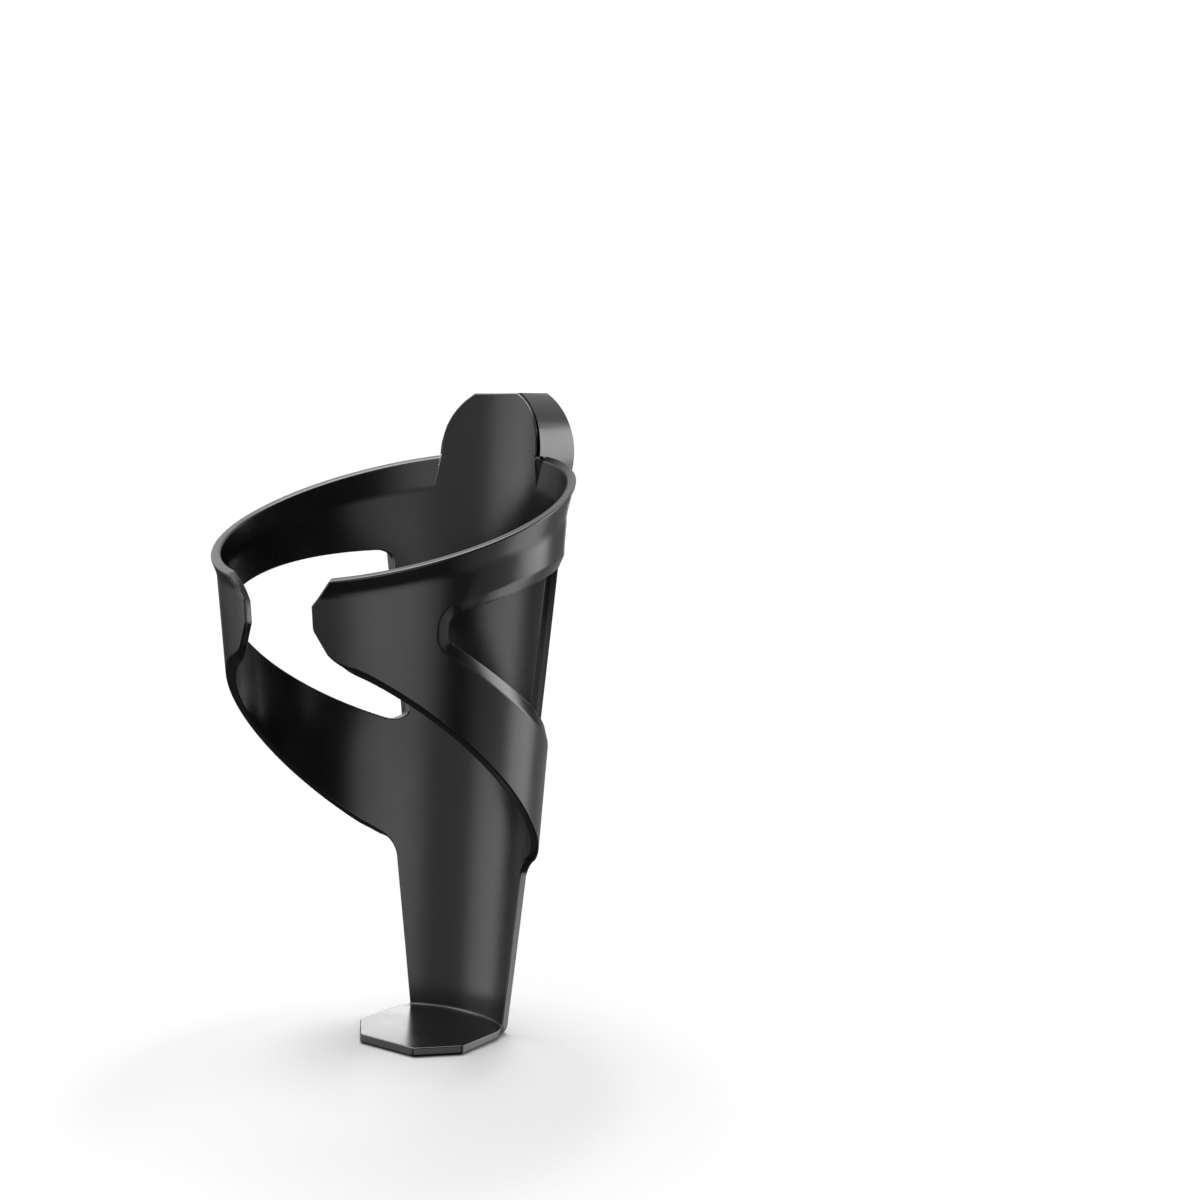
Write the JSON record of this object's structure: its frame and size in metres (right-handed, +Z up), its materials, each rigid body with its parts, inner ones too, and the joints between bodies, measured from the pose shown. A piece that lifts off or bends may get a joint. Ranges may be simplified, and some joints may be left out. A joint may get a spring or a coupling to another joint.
{
  "type": "water bottle cage",
  "caption": "Conical water bottle cage with two wrap-round arms, a slanted flared rim, a foot that carries the bottle and a screwed-on rear mount block.",
  "frame": {"origin": "middle of the mount block's rear face, the face that lies against what carries the cage", "axes": "+Z up the bottle's axis, +Y out of the rear face, the open gap between the arms faces -Y"},
  "size_m": [0.089, 0.0959, 0.1649],
  "materials": {
    "body": "satin black moulded plastic",
    "block": "satin black moulded plastic",
    "insert": "turned brass",
    "screw": "black oxide steel"
  },
  "bodies": {
    "root": {"cage_body": "body", "rear_mount_block": "block", "upper_threaded_insert": "insert", "lower_threaded_insert": "insert", "left_block_screw": "screw", "right_block_screw": "screw"}
  },
  "joints": []
}
